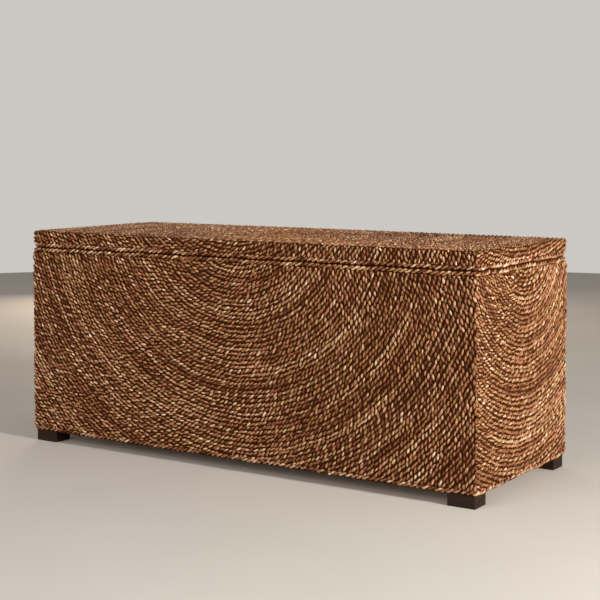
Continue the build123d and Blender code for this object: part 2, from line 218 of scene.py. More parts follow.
# %% [markdown]
# ## Rope finish
#
# The rope is made of dried leaf strips. Each strip has its own colour, from nearly black through
# reddish brown to straw, a few broad folds and many fine ribs along its length. Every lump of rope
# on the mesh carries two numbers: its tone, from 0 for dark to 1 for pale, and a strip number that
# shifts the folds and tints the colour, so that no two lumps look the same. Folds and ribs follow
# the piece's own UV map, because they run along each lump whichever way it lies.

# %% Rope finish
DARK_LEAF = (0.048, 0.010, 0.0015)
BARK_LEAF = (0.14, 0.041, 0.012)
RUST_LEAF = (0.30, 0.122, 0.047)
TAN_LEAF = (0.50, 0.285, 0.150)
STRAW_LEAF = (0.84, 0.66, 0.46)
RED_TINT = (1.0, 0.82, 0.84)
NO_TINT = (1.0, 1.0, 1.0)
OLIVE_TINT = (0.90, 1.0, 0.66)
LEAF_STOPS = (
    (0.0, DARK_LEAF),
    (0.22, BARK_LEAF),
    (0.48, RUST_LEAF),
    (0.72, TAN_LEAF),
    (1.0, STRAW_LEAF),
)
TINT_STOPS = ((0.0, RED_TINT), (0.35, NO_TINT), (0.7, NO_TINT), (1.0, OLIVE_TINT))
HUE_SHUFFLE = 7.13
RIBS_PER_FOLD = 4
FOLD_CONTRAST = 1.0
RIB_CONTRAST = 0.9
LEAF_ROUGHNESS = 0.42
RIB_ROUGHNESS = 0.3
FOLD_HEIGHT = 0.6
RIB_HEIGHT = 0.4


def rope_finish(name, fold_count):
    """Dried leaf strips, ribbed along their length, with a soft shine."""
    finish = Finish(name, Specular_IOR_Level=0.2)
    tone = finish.attribute("tone")
    strip = finish.attribute("strip")
    place = finish.surface_place()
    shifted = finish.node("ShaderNodeVectorMath", {"operation": "ADD"}, {0: place, 1: strip})
    folds = finish.noise(shifted, 1.0, detail=1.0, stretch=(fold_count, 0.7, 1.0))
    rib_stretch = (RIBS_PER_FOLD * fold_count, 1.6, 1.0)
    ribs = finish.noise(shifted, 1.0, detail=3.0, roughness=0.6, stretch=rib_stretch)
    shade = tone + (folds - 0.5) * FOLD_CONTRAST + (ribs - 0.5) * RIB_CONTRAST
    leaf = finish.ramp(shade, *LEAF_STOPS)
    hue = finish.node("ShaderNodeMath", {"operation": "FRACT"}, {0: strip * HUE_SHUFFLE})
    tint = finish.ramp(hue, *TINT_STOPS)
    finish.set("Base Color", finish.mix(1.0, leaf, tint, "MULTIPLY"))
    finish.set("Roughness", LEAF_ROUGHNESS + ribs * RIB_ROUGHNESS)
    finish.bump(folds * FOLD_HEIGHT + ribs * RIB_HEIGHT, depth=0.0012, strength=0.8)
    return finish.material


woven_rope = rope_finish("woven_rope", fold_count=5.0)
edge_rope = rope_finish("edge_rope", fold_count=4.0)
print("rope finishes", woven_rope.name, edge_rope.name)

# %% [markdown]
# ## The bed under the rope
#
# Behind the rows lies a bed that is only seen in the gaps between the lumps. It is coloured dark and dull as
# painted shade for those gaps, with a little unevenness.

# %% Bed finish
GAP_SHADE_DARK = (0.020, 0.005, 0.001)
GAP_SHADE_BROWN = (0.055, 0.016, 0.004)


def painted_gap_shade_finish():
    """Painted shade for the gaps between lumps: dark and dull, with a little unevenness."""
    finish = Finish("painted_gap_shade", Roughness=0.9, Specular_IOR_Level=0.02)
    cloud = finish.noise(finish.object_place(), scale=90.0)
    finish.set("Base Color", finish.mix(cloud, (*GAP_SHADE_DARK, 1), (*GAP_SHADE_BROWN, 1)))
    finish.bump(cloud, depth=0.0008)
    return finish.material


painted_gap_shade = painted_gap_shade_finish()
print("bed finish", painted_gap_shade.name)

# %% [markdown]
# ## Wood, metal and rubber
#
# Bare boards inside are pale plywood, the posts and rails are planed softwood, and the feet are
# stained nearly black. One function draws all three: long streaks along the board, with darker
# bands where the rings come to the surface. The direction of the grain is the board's length, so
# the same finish is made once for each direction.
#
# The faces where the box and the lid meet take the dark stain colours of the feet too, as painted shade, so
# that the joint reads as a thin shadow and not as a pale line. They are the only wood at that height, so
# height picks them out.

# %% Wood finish
# Dark colours: the feet's own stain, and painted shade for the wood at the joint between box and lid.
STAIN_AND_SHADE_EARLY, STAIN_AND_SHADE_LATE = (0.030, 0.014, 0.007), (0.012, 0.006, 0.003)
# Heights of the wood at the joint between box and lid, which is coloured as painted shade.
SEAM_SHADE_HEIGHTS = (cad_high.z - 38 * MM, cad_high.z - 32 * MM)
GRAIN_STRETCH = 0.06
RING_FOLDS = 6.0
RING_SHARE = 0.55
STREAK_SHARE = 0.45


def wood_finish(name, along, early, late, ring_scale, roughness, shine=0.3):
    """Planed wood with its grain along one axis: 0 for X, 1 for Y, 2 for Z."""
    finish = Finish(name, Specular_IOR_Level=shine)
    place = finish.object_place()
    thin = [1.0, 1.0, 1.0]
    thin[along] = GRAIN_STRETCH
    streaks = finish.noise(place, scale=160.0, detail=5.0, roughness=0.65, stretch=thin)
    rings = finish.noise(place, ring_scale, detail=2.0, stretch=thin)
    band = finish.node("ShaderNodeMath", {"operation": "PINGPONG"}, {0: rings * RING_FOLDS, 1: 1.0})
    figure = band * RING_SHARE + streaks * STREAK_SHARE
    bare = finish.mix(figure, (*early, 1), (*late, 1))
    # Painted shade: wood at the height of the joint between box and lid takes the dark colours, so the joint
    # reads as a thin shadow.
    height = finish.node("ShaderNodeSeparateXYZ", {}, {"Vector": place}, output=2)
    seam_shaded = finish.math_step(height, *SEAM_SHADE_HEIGHTS)
    seam_shade_colour = finish.mix(figure, (*STAIN_AND_SHADE_EARLY, 1), (*STAIN_AND_SHADE_LATE, 1))
    finish.set("Base Color", finish.mix(seam_shaded, bare, seam_shade_colour))
    finish.set("Roughness", roughness + (streaks - 0.5) * 0.2)
    finish.bump(streaks, depth=0.0003, strength=0.6)
    return finish.material


PINE_EARLY, PINE_LATE = (0.56, 0.36, 0.19), (0.38, 0.20, 0.085)
PLY_EARLY, PLY_LATE = (0.52, 0.36, 0.21), (0.38, 0.235, 0.12)
AXES = {"x": 0, "y": 1, "z": 2}
pine = {k: wood_finish(f"pine_{k}", a, PINE_EARLY, PINE_LATE, 22.0, 0.55) for k, a in AXES.items()}
ply = {k: wood_finish(f"plywood_{k}", a, PLY_EARLY, PLY_LATE, 12.0, 0.6) for k, a in AXES.items()}
dark_wood = wood_finish("dark_wood", AXES["x"], STAIN_AND_SHADE_EARLY, STAIN_AND_SHADE_LATE, 30.0, 0.55, shine=0.12)
print("wood finishes", len(pine) + len(ply) + 1)

# %% Metal and rubber finishes
def metal_finish(name, colour, worn, roughness):
    """Plated metal with fine brushing and duller, darker blotches."""
    finish = Finish(name, Metallic=1.0, Roughness=roughness)
    place = finish.object_place()
    brushing = finish.noise(place, scale=900.0, detail=2.0, stretch=(0.08, 1.0, 1.0))
    blotch = finish.noise(place, scale=70.0, detail=4.0, roughness=0.6)
    finish.set("Base Color", finish.mix(blotch, (*colour, 1), (*worn, 1)))
    finish.set("Roughness", roughness + (brushing - 0.5) * 0.2 + blotch * 0.12)
    finish.bump(brushing, depth=0.0001, strength=0.5)
    return finish.material


RUBBER_BLACK, RUBBER_GREY = (0.015, 0.015, 0.015), (0.04, 0.04, 0.04)


def rubber_finish():
    """Soft black rubber with a fine tooth."""
    finish = Finish("bumper_rubber", Roughness=0.8)
    tooth = finish.noise(finish.object_place(), scale=1500.0)
    finish.set("Base Color", finish.mix(tooth, (*RUBBER_BLACK, 1), (*RUBBER_GREY, 1)))
    finish.bump(tooth, depth=0.0001)
    return finish.material


brass = metal_finish("hinge_metal", (0.50, 0.34, 0.13), (0.26, 0.17, 0.07), 0.34)
zinc = metal_finish("stay_metal", (0.62, 0.61, 0.58), (0.38, 0.37, 0.35), 0.3)
screw_zinc = metal_finish("screw_metal", (0.60, 0.52, 0.34), (0.36, 0.31, 0.2), 0.32)
rubber = rubber_finish()
print("metal finishes", brass.name, zinc.name, screw_zinc.name, rubber.name)

# %% [markdown]
# ## Finishes on the CAD pieces
#
# A CAD piece keeps its shape and only gets a better material. Its name says what it is, so a
# list of name beginnings is enough to choose.

# %% Give every CAD piece its finish
def finish_for(name):
    """The finish of one CAD piece, chosen by its name."""
    if name.endswith(("_left", "_right")) and name.startswith(("top_rail", "bottom_rail", "lid_rail")):
        return pine["y"]
    if name.startswith(("floor_batten", "lid_batten")):
        return pine["y"]
    if name.startswith("corner_post"):
        return pine["z"]
    if name.startswith(("top_rail", "bottom_rail", "lid_rail")):
        return pine["x"]
    if name in ("left_panel", "right_panel"):
        return ply["y"]
    if name.endswith("_panel"):
        return ply["x"]
    if name.endswith("_screws"):
        return screw_zinc
    if name.startswith("foot_"):
        return dark_wood
    if name.startswith("hinge_"):
        return brass
    if name.startswith("stay_"):
        return zinc
    return rubber


covered = [name for name in nodes if name.endswith(("_weave", "_rope"))]
for name, node in nodes.items():
    if name not in covered:
        node.data.materials.clear()
        node.data.materials.append(finish_for(name))
print("finished", len(nodes) - len(covered), "CAD pieces")

# %% [markdown]
# ## One lump of rope
#
# The rope is two strips of leaf twisted together. Each strip comes up at one side of the rope,
# crosses over it on a slant and dives down at the other side, so what shows is a row of slanted
# lumps, like grains of rice. Whole twisted strips could be modelled, but their hidden halves would
# double the faces. So only the lump that shows is modelled, once, from a ball cut in half: its two
# ends are pushed sideways in opposite directions for the slant, then down where they dive. It has
# seventeen faces, or thirty triangles, because there will be about twenty thousand copies.

# %% Helpers for modelling in edit mode
def start_clean():
    """Leaves edit mode and selects nothing."""
    if bpy.context.mode != "OBJECT":
        bpy.ops.object.mode_set(mode="OBJECT")
    bpy.ops.object.select_all(action="DESELECT")


def pick(obj, test, kind="VERT"):
    """Goes into edit mode with only the vertices or faces chosen by the test selected."""
    start_clean()
    obj.select_set(True)
    bpy.context.view_layer.objects.active = obj
    bpy.ops.object.mode_set(mode="EDIT")
    bpy.ops.mesh.select_mode(type=kind)
    bpy.ops.mesh.select_all(action="DESELECT")
    bpy.ops.object.mode_set(mode="OBJECT")
    found = obj.data.vertices if kind == "VERT" else obj.data.polygons
    for item in found:
        item.select = bool(test(item.co if kind == "VERT" else item))
    bpy.ops.object.mode_set(mode="EDIT")


def apply_place(obj):
    """Writes the object's place, turn and size into its mesh."""
    start_clean()
    obj.select_set(True)
    bpy.context.view_layer.objects.active = obj
    bpy.ops.object.transform_apply(location=True, rotation=True, scale=True)


# %% Model the lump
ROW_PITCH = 8.5 * MM
LUMP_PITCH = 9.7 * MM
LUMP_LENGTH = 13.2 * MM
LUMP_WIDTH = 5.9 * MM
LUMP_HEIGHT = 4.2 * MM
LUMP_SLANT = 1.9 * MM
# From what share of the length a part is pushed, by what share of the slant, and how far down.
LUMP_SHOULDER = (0.2, 1.0, 0.15)
LUMP_TIP = (0.45, 0.1, 0.12)


def make_lump():
    """A ball, stretched, cut in half, slanted and with its ends pushed down."""
    start_clean()
    bpy.ops.mesh.primitive_uv_sphere_add(segments=8, ring_count=4, radius=0.5, rotation=(0, math.pi / 2, 0))
    lump = bpy.context.active_object
    apply_place(lump)
    lump.scale = (LUMP_LENGTH, LUMP_WIDTH, 2 * LUMP_HEIGHT)
    apply_place(lump)
    pick(lump, lambda co: True)
    bpy.ops.mesh.bisect(plane_co=(0, 0, 0), plane_no=(0, 0, 1), clear_inner=True, use_fill=True)
    for side in (-1, 1):
        for start, slant, drop in (LUMP_SHOULDER, LUMP_TIP):
            pick(lump, lambda co: co.x * side > start * LUMP_LENGTH)
            bpy.ops.transform.translate(value=(0, side * slant * LUMP_SLANT, -drop * LUMP_HEIGHT))
    pick(lump, lambda co: True)
    bpy.ops.mesh.normals_make_consistent(inside=False)
    start_clean()
    return lump


lump = make_lump()
lump_points = np.array([v.co for v in lump.data.vertices])
lump_faces = [np.array(f.vertices) for f in lump.data.polygons]
lump_uvs = np.array([corner.uv for corner in lump.data.uv_layers["UVMap"].data])
bpy.data.objects.remove(lump)
print("lump", len(lump_points), "points", len(lump_faces), "faces", lump_points.min(0), lump_points.max(0))

# %% [markdown]
# ## Rows
#
# The maker lays the rope in rings, one against the next, round a point that lies outside the
# panel, so each side shows wide arcs. The rows are never quite true: the whole field wanders by a
# millimetre or two, which is added as a slow wave. Each of the two strips in the rope keeps its
# colour for a hand's width or two and then another is twisted in, so tone is drawn run by run for
# each strip, with a small change from lump to lump.

# %% Choose the places and tones of the lumps in one panel
RUN_LENGTHS = (3, 18)
ROW_TONE_LENGTHS = (8, 40)
FEWEST_LUMPS = 4
FIRST_RING = 0.55
PAST_EDGE = 2 * MM
TONE_MIDDLE = 0.43
TONE_ROW = 0.07
TONE_RUN = 0.09
TONE_LUMP = 0.05
STRIP_CONTRAST = 0.08
WANDER = 1.2 * MM
# Waves by their steepness along X and Y in radians a metre, and by how they lag, for X then Y.
BROAD_WAVES = ((31, 17, 1), (-13, 37, 3))
FINE_WAVES = ((-29, 67, 2), (71, 23, -1))
FINE_SHARE = 0.6
PHASE_RANGE = 6
LUMP_STRAY = 0.7 * MM
RING_STRAY = 0.5 * MM
PALEST_TONE = 0.72


def run_tones(rng, count):
    """Tones for one strip: constant over a run of lumps, then another."""
    runs = rng.integers(*RUN_LENGTHS, size=count)
    values = rng.normal(0, TONE_RUN, size=count)
    return np.repeat(values, runs)[:count]


def ring_lumps(rng, radius, centre):
    """Place, direction and tone of every lump on one whole ring."""
    count = max(FEWEST_LUMPS, 2 * round(math.pi * radius / LUMP_PITCH))
    angle = (np.arange(count) + rng.random()) * 2 * math.pi / count
    place = np.stack([centre[0] + radius * np.cos(angle), centre[1] + radius * np.sin(angle)], 1)
    row_tones = rng.normal(0, TONE_ROW, count)
    tone = np.repeat(row_tones, rng.integers(*ROW_TONE_LENGTHS, count))[:count]
    contrast = rng.normal(0, STRIP_CONTRAST)
    tone[0::2] += run_tones(rng, len(tone[0::2])) + contrast
    tone[1::2] += run_tones(rng, len(tone[1::2])) - contrast
    return np.column_stack([place, angle + math.pi / 2, tone])


def wave(place, phase, along_x, along_y, lag):
    """One smooth wave across the panel."""
    return np.sin(along_x * place[:, 0] + along_y * place[:, 1] + lag * phase)


def wander(place, phase):
    """A slow, smooth shift, so that rows are not perfect circles."""
    pairs = zip(BROAD_WAVES, FINE_WAVES)
    shifts = [wave(place, phase, *broad) + FINE_SHARE * wave(place, phase, *fine) for broad, fine in pairs]
    return place + WANDER * np.stack(shifts, 1)


def cover_with_rings(seed, half_x, half_y, centre):
    """All the lumps of the rings round a centre that lie in a rectangle."""
    rng = np.random.default_rng(seed)
    farthest = math.hypot(half_x + abs(centre[0]), half_y + abs(centre[1]))
    rings = np.arange(FIRST_RING, farthest / ROW_PITCH) * ROW_PITCH
    rings += rng.normal(0, RING_STRAY, len(rings))
    lumps = np.concatenate([ring_lumps(rng, radius, centre) for radius in rings])
    lumps[:, :2] = wander(lumps[:, :2], rng.random() * PHASE_RANGE)
    near_x = abs(lumps[:, 0]) < half_x + PAST_EDGE
    near_y = abs(lumps[:, 1]) < half_y + PAST_EDGE
    inside = near_x & near_y
    return rng, lumps[inside]


# %% Lay copies of the lump
SIZE_MIDDLE = (1, 1, 0.96)
SIZE_SPREAD = (0.12, 0.15, 0.09)
SIZE_LEAST = 0.7
SIZE_MOST = (1.3, 1.3, 1.04)
TURN_SPREAD = 0.15
STRIP_RANGE = 20


def lay_lumps(rng, lumps):
    """Points of every copy, flat on a bench with height as Z, and a tone and strip number for each."""
    count = len(lumps)
    size = np.clip(rng.normal(SIZE_MIDDLE, SIZE_SPREAD, size=(count, 3)), SIZE_LEAST, SIZE_MOST)
    points = lump_points[None] * size[:, None]
    turn = lumps[:, 2] + rng.normal(0, TURN_SPREAD, count)
    lumps[:, :2] += rng.normal(0, LUMP_STRAY, (count, 2))
    cos, sin = np.cos(turn)[:, None], np.sin(turn)[:, None]
    x = points[..., 0] * cos - points[..., 1] * sin + lumps[:, 0, None]
    y = points[..., 0] * sin + points[..., 1] * cos + lumps[:, 1, None]
    z = points[..., 2] - LUMP_HEIGHT
    tone = TONE_MIDDLE + lumps[:, 3] + rng.normal(0, TONE_LUMP, count)
    return np.stack([x, y, z], 2), np.minimum(tone, PALEST_TONE), rng.random(count) * STRIP_RANGE


def rows_object(name, points, tone, strip):
    """One mesh from all the copies, with the lump's own UV map on each."""
    count, each = points.shape[:2]
    faces = [face + i * each for i in range(count) for face in lump_faces]
    mesh = bpy.data.meshes.new(name)
    mesh.from_pydata(points.reshape(-1, 3), [], [face.tolist() for face in faces])
    layer = mesh.uv_layers.new(name="UVMap")
    layer.data.foreach_set("uv", np.tile(lump_uvs, (count, 1)).astype(np.float32).ravel())
    for label, values in (("tone", tone), ("strip", strip)):
        attribute = mesh.attributes.new(label, "FLOAT", "POINT")
        attribute.data.foreach_set("value", np.repeat(values, each).astype(np.float32))
    mesh.materials.append(woven_rope)
    rows = bpy.data.objects.new(name, mesh)
    bpy.context.scene.collection.objects.link(rows)
    mesh.shade_smooth()
    return rows


print("rows can be laid")

# %% [markdown]
# ## A covered panel
#
# A panel is made flat on the bench and then stood against its side of the box. Its rows run past the edge and
# are cut off straight all round, so at the upright corners the rope ends of one side butt into those of the
# next, as on the real trunk, which has no corner trim. The bed is a slab under the rows, coloured dark as
# painted shade for the gaps between lumps, and its ends slope inwards, so that it stays hidden behind both
# sides. The rope stands a millimetre further out than the room that CAD leaves for it.

# %% Cut rows and make the bed
ROPE_SPACE = 8.5 * MM
ROPE_PROUD = 1.0 * MM
CUT_BACK = 0.4 * MM
BED_DEPTH = 3.0 * MM


def cut_away(obj, point, normal):
    """Cuts an object with a plane, removes what lies beyond it and closes the cuts."""
    pick(obj, lambda co: True)
    bpy.ops.mesh.bisect(plane_co=point, plane_no=normal, clear_outer=True, use_fill=True)
    start_clean()


def make_bed(half_x, half_y):
    """A slab whose left and right ends slope inwards at 45 degrees as they go down."""
    start_clean()
    thick = ROPE_SPACE + ROPE_PROUD - BED_DEPTH
    bpy.ops.mesh.primitive_cube_add(size=1, location=(0, 0, -BED_DEPTH - thick / 2))
    bed = bpy.context.active_object
    bed.scale = (2 * (half_x - BED_DEPTH), 2 * half_y, thick)
    apply_place(bed)
    for side in (-1, 1):
        pick(bed, lambda co: co.x * side > 0 and co.z < -BED_DEPTH - thick / 2)
        bpy.ops.transform.translate(value=(-side * thick, 0, 0))
    start_clean()
    # The bed takes the dark painted shade of the gaps between lumps.
    bed.data.materials.append(painted_gap_shade)
    return bed


def join(name, pieces):
    """Joins pieces into the first one and names it."""
    start_clean()
    for piece in pieces:
        piece.select_set(True)
    bpy.context.view_layer.objects.active = pieces[0]
    bpy.ops.object.join()
    joined = bpy.context.active_object
    joined.name = name
    joined.data.name = name
    return joined


def make_panel(name, seed, length, height, centre):
    """A covered panel lying flat, face up, its middle at the origin."""
    rng, lumps = cover_with_rings(seed, length / 2, height / 2, centre)
    points, tone, strip = lay_lumps(rng, lumps)
    rows = rows_object(name, points, tone, strip)
    for side in (-1, 1):
        cut_away(rows, (side * (length / 2 - CUT_BACK), 0, 0), (side, 0, 0))
        cut_away(rows, (0, side * height / 2, 0), (0, side, 0))
    panel = join(name, [rows, make_bed(length / 2, height / 2)])
    print(name, len(lumps), "lumps", len(panel.data.polygons), "faces")
    return panel


# %% Stand the four panels against the box
def stand(panel, place, turn):
    """Stands a flat panel up, turns it to its side of the box and moves it there."""
    panel.rotation_euler = (math.pi / 2, 0, turn)
    panel.location = place
    apply_place(panel)
    return panel


def finish_piece(piece, body, slot, *stands_for):
    """Hands a finished piece to the frame."""
    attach(piece, body)
    if stands_for:
        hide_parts(*stands_for)
    return piece


FRONT_CENTRE = (0.012, 0.315)
END_CENTRE = (0.010, 0.265)
SIDES = {
    "front_weave": (11, FRONT_CENTRE, 0),
    "right_weave": (12, END_CENTRE, math.pi / 2),
    "back_weave": (13, FRONT_CENTRE, math.pi),
    "left_weave": (14, END_CENTRE, -math.pi / 2),
}
for node_name, (seed, centre, turn) in SIDES.items():
    low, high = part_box(node_name)
    size = high - low
    length = max(size.x, size.y) + 2 * ROPE_PROUD
    outward = Vector((math.sin(turn), -math.cos(turn), 0))
    middle = (low + high) / 2
    face = middle + outward * (min(size.x, size.y) / 2 + ROPE_PROUD)
    panel = make_panel(node_name.replace("weave", "rows"), seed, length, size.z, centre)
    stand(panel, face, turn)
    finish_piece(panel, "trunk_body", "woven_rope", node_name)

# %% [markdown]
# ## The lid
#
# On the lid the rings are laid round the middle of the top, and where a row reaches the edge it is
# bent over it and runs down the side. So the rows are laid on a flat sheet that is larger than the
# top by the height of the side, and then folded: a function takes each point round a rounded edge
# and down, keeping its distance along the surface. The four flaps are cut to a mitre at the corners.
# The top row of lumps stands three millimetres above the CAD lid, and the sides one millimetre out.

# %% Fold the lid's rows over its edges
LID_EDGE_RADIUS = 5 * MM
LID_BED_DEPTH = 2.6 * MM
LID_PROUD = 3.0 * MM


def fold_axis(along, height, half):
    """Takes points beyond half round a rounded edge and down. Works on one axis and the height."""
    past = abs(along) - (half - LID_EDGE_RADIUS)
    turn = np.clip(past / LID_EDGE_RADIUS, 0, math.pi / 2)
    beyond = np.clip(past - LID_EDGE_RADIUS * math.pi / 2, 0, None)
    out = np.minimum(abs(along), half - LID_EDGE_RADIUS) + (LID_EDGE_RADIUS + height) * np.sin(turn)
    up = (LID_EDGE_RADIUS + height) * np.cos(turn) - LID_EDGE_RADIUS - beyond
    return np.sign(along) * out, up


lid_low, lid_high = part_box("lid_weave")
LID_HALF_X = lid_high.x + ROPE_PROUD
LID_HALF_Y = lid_high.y + ROPE_PROUD
LID_TOP = lid_high.z + LID_PROUD
LID_BOTTOM = lid_low.z
BEND_GAIN = LID_EDGE_RADIUS * (math.pi / 2 - 1)
FLAP = LID_TOP - LID_BOTTOM + BEND_GAIN
FOLD_START = BEND_GAIN / 2
PAST_MITRE = 1 * MM
rng, lid_lumps = cover_with_rings(21, LID_HALF_X + FLAP, LID_HALF_Y + FLAP, (0, 0))
over_x = abs(lid_lumps[:, 0]) - LID_HALF_X
over_y = abs(lid_lumps[:, 1]) - LID_HALF_Y
print("lid sheet", len(lid_lumps), "lumps, flap", round(FLAP, 4))


def fold_lumps(lumps, flap_axis):
    """Lays some of the lid's lumps and folds them over one pair of edges, or over both for the top."""
    points, tone, strip = lay_lumps(rng, lumps)
    x, y, height = points[..., 0], points[..., 1], points[..., 2]
    if flap_axis != "y":
        x, height = fold_axis(x, height, LID_HALF_X)
    if flap_axis != "x":
        y, height = fold_axis(y, height, LID_HALF_Y)
    return np.stack([x, y, height + LID_TOP], 2), tone, strip


def make_flap(axis, side):
    """The rows of one side of the lid, cut to a mitre at both ends and straight at the bottom."""
    over, other = (over_x, over_y) if axis == "x" else (over_y, over_x)
    column = 0 if axis == "x" else 1
    chosen = (over > FOLD_START) & (other < PAST_MITRE) & (lid_lumps[:, column] * side > 0)
    rows = rows_object("flap", *fold_lumps(lid_lumps[chosen], axis))
    cut_away(rows, (0, 0, LID_BOTTOM), (0, 0, -1))
    for end in (-1, 1):
        sign_x, sign_y = (side, end) if axis == "x" else (end, side)
        normal = (-side, end, 0) if axis == "x" else (end, -side, 0)
        cut_away(rows, (sign_x * LID_HALF_X, sign_y * LID_HALF_Y, 0), normal)
    return rows


def make_lid_bed():
    """A shallow upturned tray under the rows: a block hollowed from below."""
    start_clean()
    bpy.ops.mesh.primitive_cube_add(size=1, location=(0, 0, (LID_BOTTOM + LID_TOP - LID_BED_DEPTH) / 2))
    bed = bpy.context.active_object
    half_x, half_y = LID_HALF_X - LID_BED_DEPTH, LID_HALF_Y - LID_BED_DEPTH
    bed.scale = (2 * half_x, 2 * half_y, LID_TOP - LID_BED_DEPTH - LID_BOTTOM)
    apply_place(bed)
    wall = ROPE_SPACE + ROPE_PROUD - LID_BED_DEPTH
    pick(bed, lambda face: face.normal.z < -0.5, "FACE")
    bpy.ops.mesh.inset(thickness=wall)
    bpy.ops.mesh.extrude_region_move(
        TRANSFORM_OT_translate={"value": (0, 0, lid_high.z - ROPE_SPACE - LID_BOTTOM)}
    )
    start_clean()
    # The tray takes the dark painted shade of the gaps between lumps.
    bed.data.materials.append(painted_gap_shade)
    return bed


on_top = (over_x < FOLD_START) & (over_y < FOLD_START)
lid_top = rows_object("lid_top_rows", *fold_lumps(lid_lumps[on_top], "both"))
lid_top = join("lid_top_rows", [lid_top, make_lid_bed()])
lid_sides = join("lid_side_rows", [make_flap(axis, side) for axis in "xy" for side in (-1, 1)])
finish_piece(lid_top, "lid", "woven_rope", "lid_weave")
finish_piece(lid_sides, "lid", "woven_rope", "lid_weave")
print("lid", len(lid_top.data.polygons), "faces on top", len(lid_sides.data.polygons), "on the sides")

# %% [markdown]
# ## Edge ropes
#
# One rope runs round the bottom edge, one round the rim of the box and one round the rim of the lid. They are
# thinner strips with a much longer twist than the rows, so here both strips are modelled whole. One strip is
# a small circle beside the axis, carried along it and turned at the same time by a Screw modifier; the other
# is its copy, turned half round. The straight rope is then bent along its path by a Curve modifier. Before
# that it is made to waver a little, and the ropes of box and lid waver in step, so that the seam between them
# stays even. Inside each stands a thin ribbon, so that no light shows between the strips; it is coloured dark
# as painted shade, so the crease between the strips reads as shade. At the back the rope stops at each hinge
# leaf, so a rim rope is one long run and two short ones.

# %% Model a straight rope and bend it along a path
EDGE_LAY = 25 * MM
STRIP_RADIUS = 2.4 * MM
STRIP_OFFSET = 2.35 * MM
ROPE_WOBBLE = 0.5 * MM
WOBBLE_WAVES = (0.047, 0.083, 0.19)
WOBBLE_SEED = 40
ROPE_TONE_SPREAD = 0.06
PATCH_TONE_SPREAD = 0.2
PATCH_LENGTHS = (1, 4)
PATCH_COUNT = 400
CORE_THICKNESS = 1.5 * MM
CORE_REACH = 4.6 * MM
STEPS_PER_LAY = 10
STRIP_SIDES = 8


def make_strip(lays):
    """One twisted strip along X, closed at both ends, with its UV map: round the strip, then along."""
    start_clean()
    bpy.ops.mesh.primitive_circle_add(
        vertices=STRIP_SIDES, radius=STRIP_RADIUS, location=(0, 0, STRIP_OFFSET), rotation=(0, math.pi / 2, 0)
    )
    strip = bpy.context.active_object
    apply_place(strip)
    screw = strip.modifiers.new("twist", "SCREW")
    screw.axis = "X"
    screw.angle = -2 * math.pi
    screw.screw_offset = EDGE_LAY
    screw.iterations = lays
    screw.steps = screw.render_steps = STEPS_PER_LAY
    bpy.ops.object.modifier_apply(modifier="twist")
    pick(strip, lambda co: True)
    bpy.ops.mesh.fill_holes(sides=0)
    bpy.ops.mesh.normals_make_consistent(inside=False)
    start_clean()
    return strip


def map_strip(strip):
    """Gives a strip its UV map from where each point is on it."""
    layer = strip.data.uv_layers.new(name="UVMap")
    for face in strip.data.polygons:
        rounds = []
        for index in face.vertices:
            place = strip.data.vertices[index].co
            twist = -place.x / EDGE_LAY * 2 * math.pi
            across = place.y * math.cos(twist) + place.z * math.sin(twist)
            up = place.z * math.cos(twist) - place.y * math.sin(twist) - STRIP_OFFSET
            rounds.append(math.atan2(across, up) / (2 * math.pi) % 1)
        wraps = max(rounds) - min(rounds) > 0.5
        for corner, index, value in zip(face.loop_indices, face.vertices, rounds):
            shifted = value + 1 if wraps and value < 0.5 else value
            layer.data[corner].uv = (shifted, strip.data.vertices[index].co.x / EDGE_LAY)


def tone_strip(strip, rng):
    """Gives a strip runs of tone along its length, and one strip number."""
    x = np.array([v.co.x for v in strip.data.vertices])
    middle = TONE_MIDDLE + rng.normal(0, ROPE_TONE_SPREAD)
    patches = rng.normal(0, PATCH_TONE_SPREAD, PATCH_COUNT)
    tones = middle + np.repeat(patches, rng.integers(*PATCH_LENGTHS, PATCH_COUNT))
    place = np.clip((x / EDGE_LAY * 2).astype(int), 0, len(tones) - 1)
    tones = np.minimum(tones, PALEST_TONE)
    for label, values in (("tone", tones[place]), ("strip", np.full(len(x), rng.random() * STRIP_RANGE))):
        attribute = strip.data.attributes.new(label, "FLOAT", "POINT")
        attribute.data.foreach_set("value", values.astype(np.float32))


def wobble(rope):
    """Lets a straight rope waver up and down and in and out, each rope in step with the others."""
    rng = np.random.default_rng(WOBBLE_SEED)
    places = np.array([v.co for v in rope.data.vertices])
    for axis in (1, 2):
        for wave_length in WOBBLE_WAVES:
            phase = rng.random() * 2 * math.pi
            places[:, axis] += ROPE_WOBBLE * np.sin(places[:, 0] / wave_length * 2 * math.pi + phase)
    rope.data.vertices.foreach_set("co", places.astype(np.float32).ravel())


def path_curve(points):
    """A curve object through a list of points."""
    data = bpy.data.curves.new("path", "CURVE")
    data.dimensions = "3D"
    spline = data.splines.new("POLY")
    spline.points.add(len(points) - 1)
    for knot, point in zip(spline.points, points):
        knot.co = (*point, 1)
    path = bpy.data.objects.new("path", data)
    bpy.context.scene.collection.objects.link(path)
    return path


def make_core(points):
    """A thin strip that stands on edge inside a rope, so no light shows past it, coloured dark as painted
    shade for the crease between the strips.
    """
    path = path_curve([(x, y, 0) for x, y, _ in points])
    path.data.dimensions = "2D"
    path.data.extrude = CORE_REACH
    path.location.z = points[0][2]
    start_clean()
    path.select_set(True)
    bpy.context.view_layer.objects.active = path
    bpy.ops.object.convert(target="MESH")
    apply_place(path)
    wall = path.modifiers.new("wall", "SOLIDIFY")
    wall.thickness = CORE_THICKNESS
    wall.offset = 0
    bpy.ops.object.modifier_apply(modifier="wall")
    # The ribbon takes the dark painted shade of the gaps.
    path.data.materials.append(painted_gap_shade)
    return path


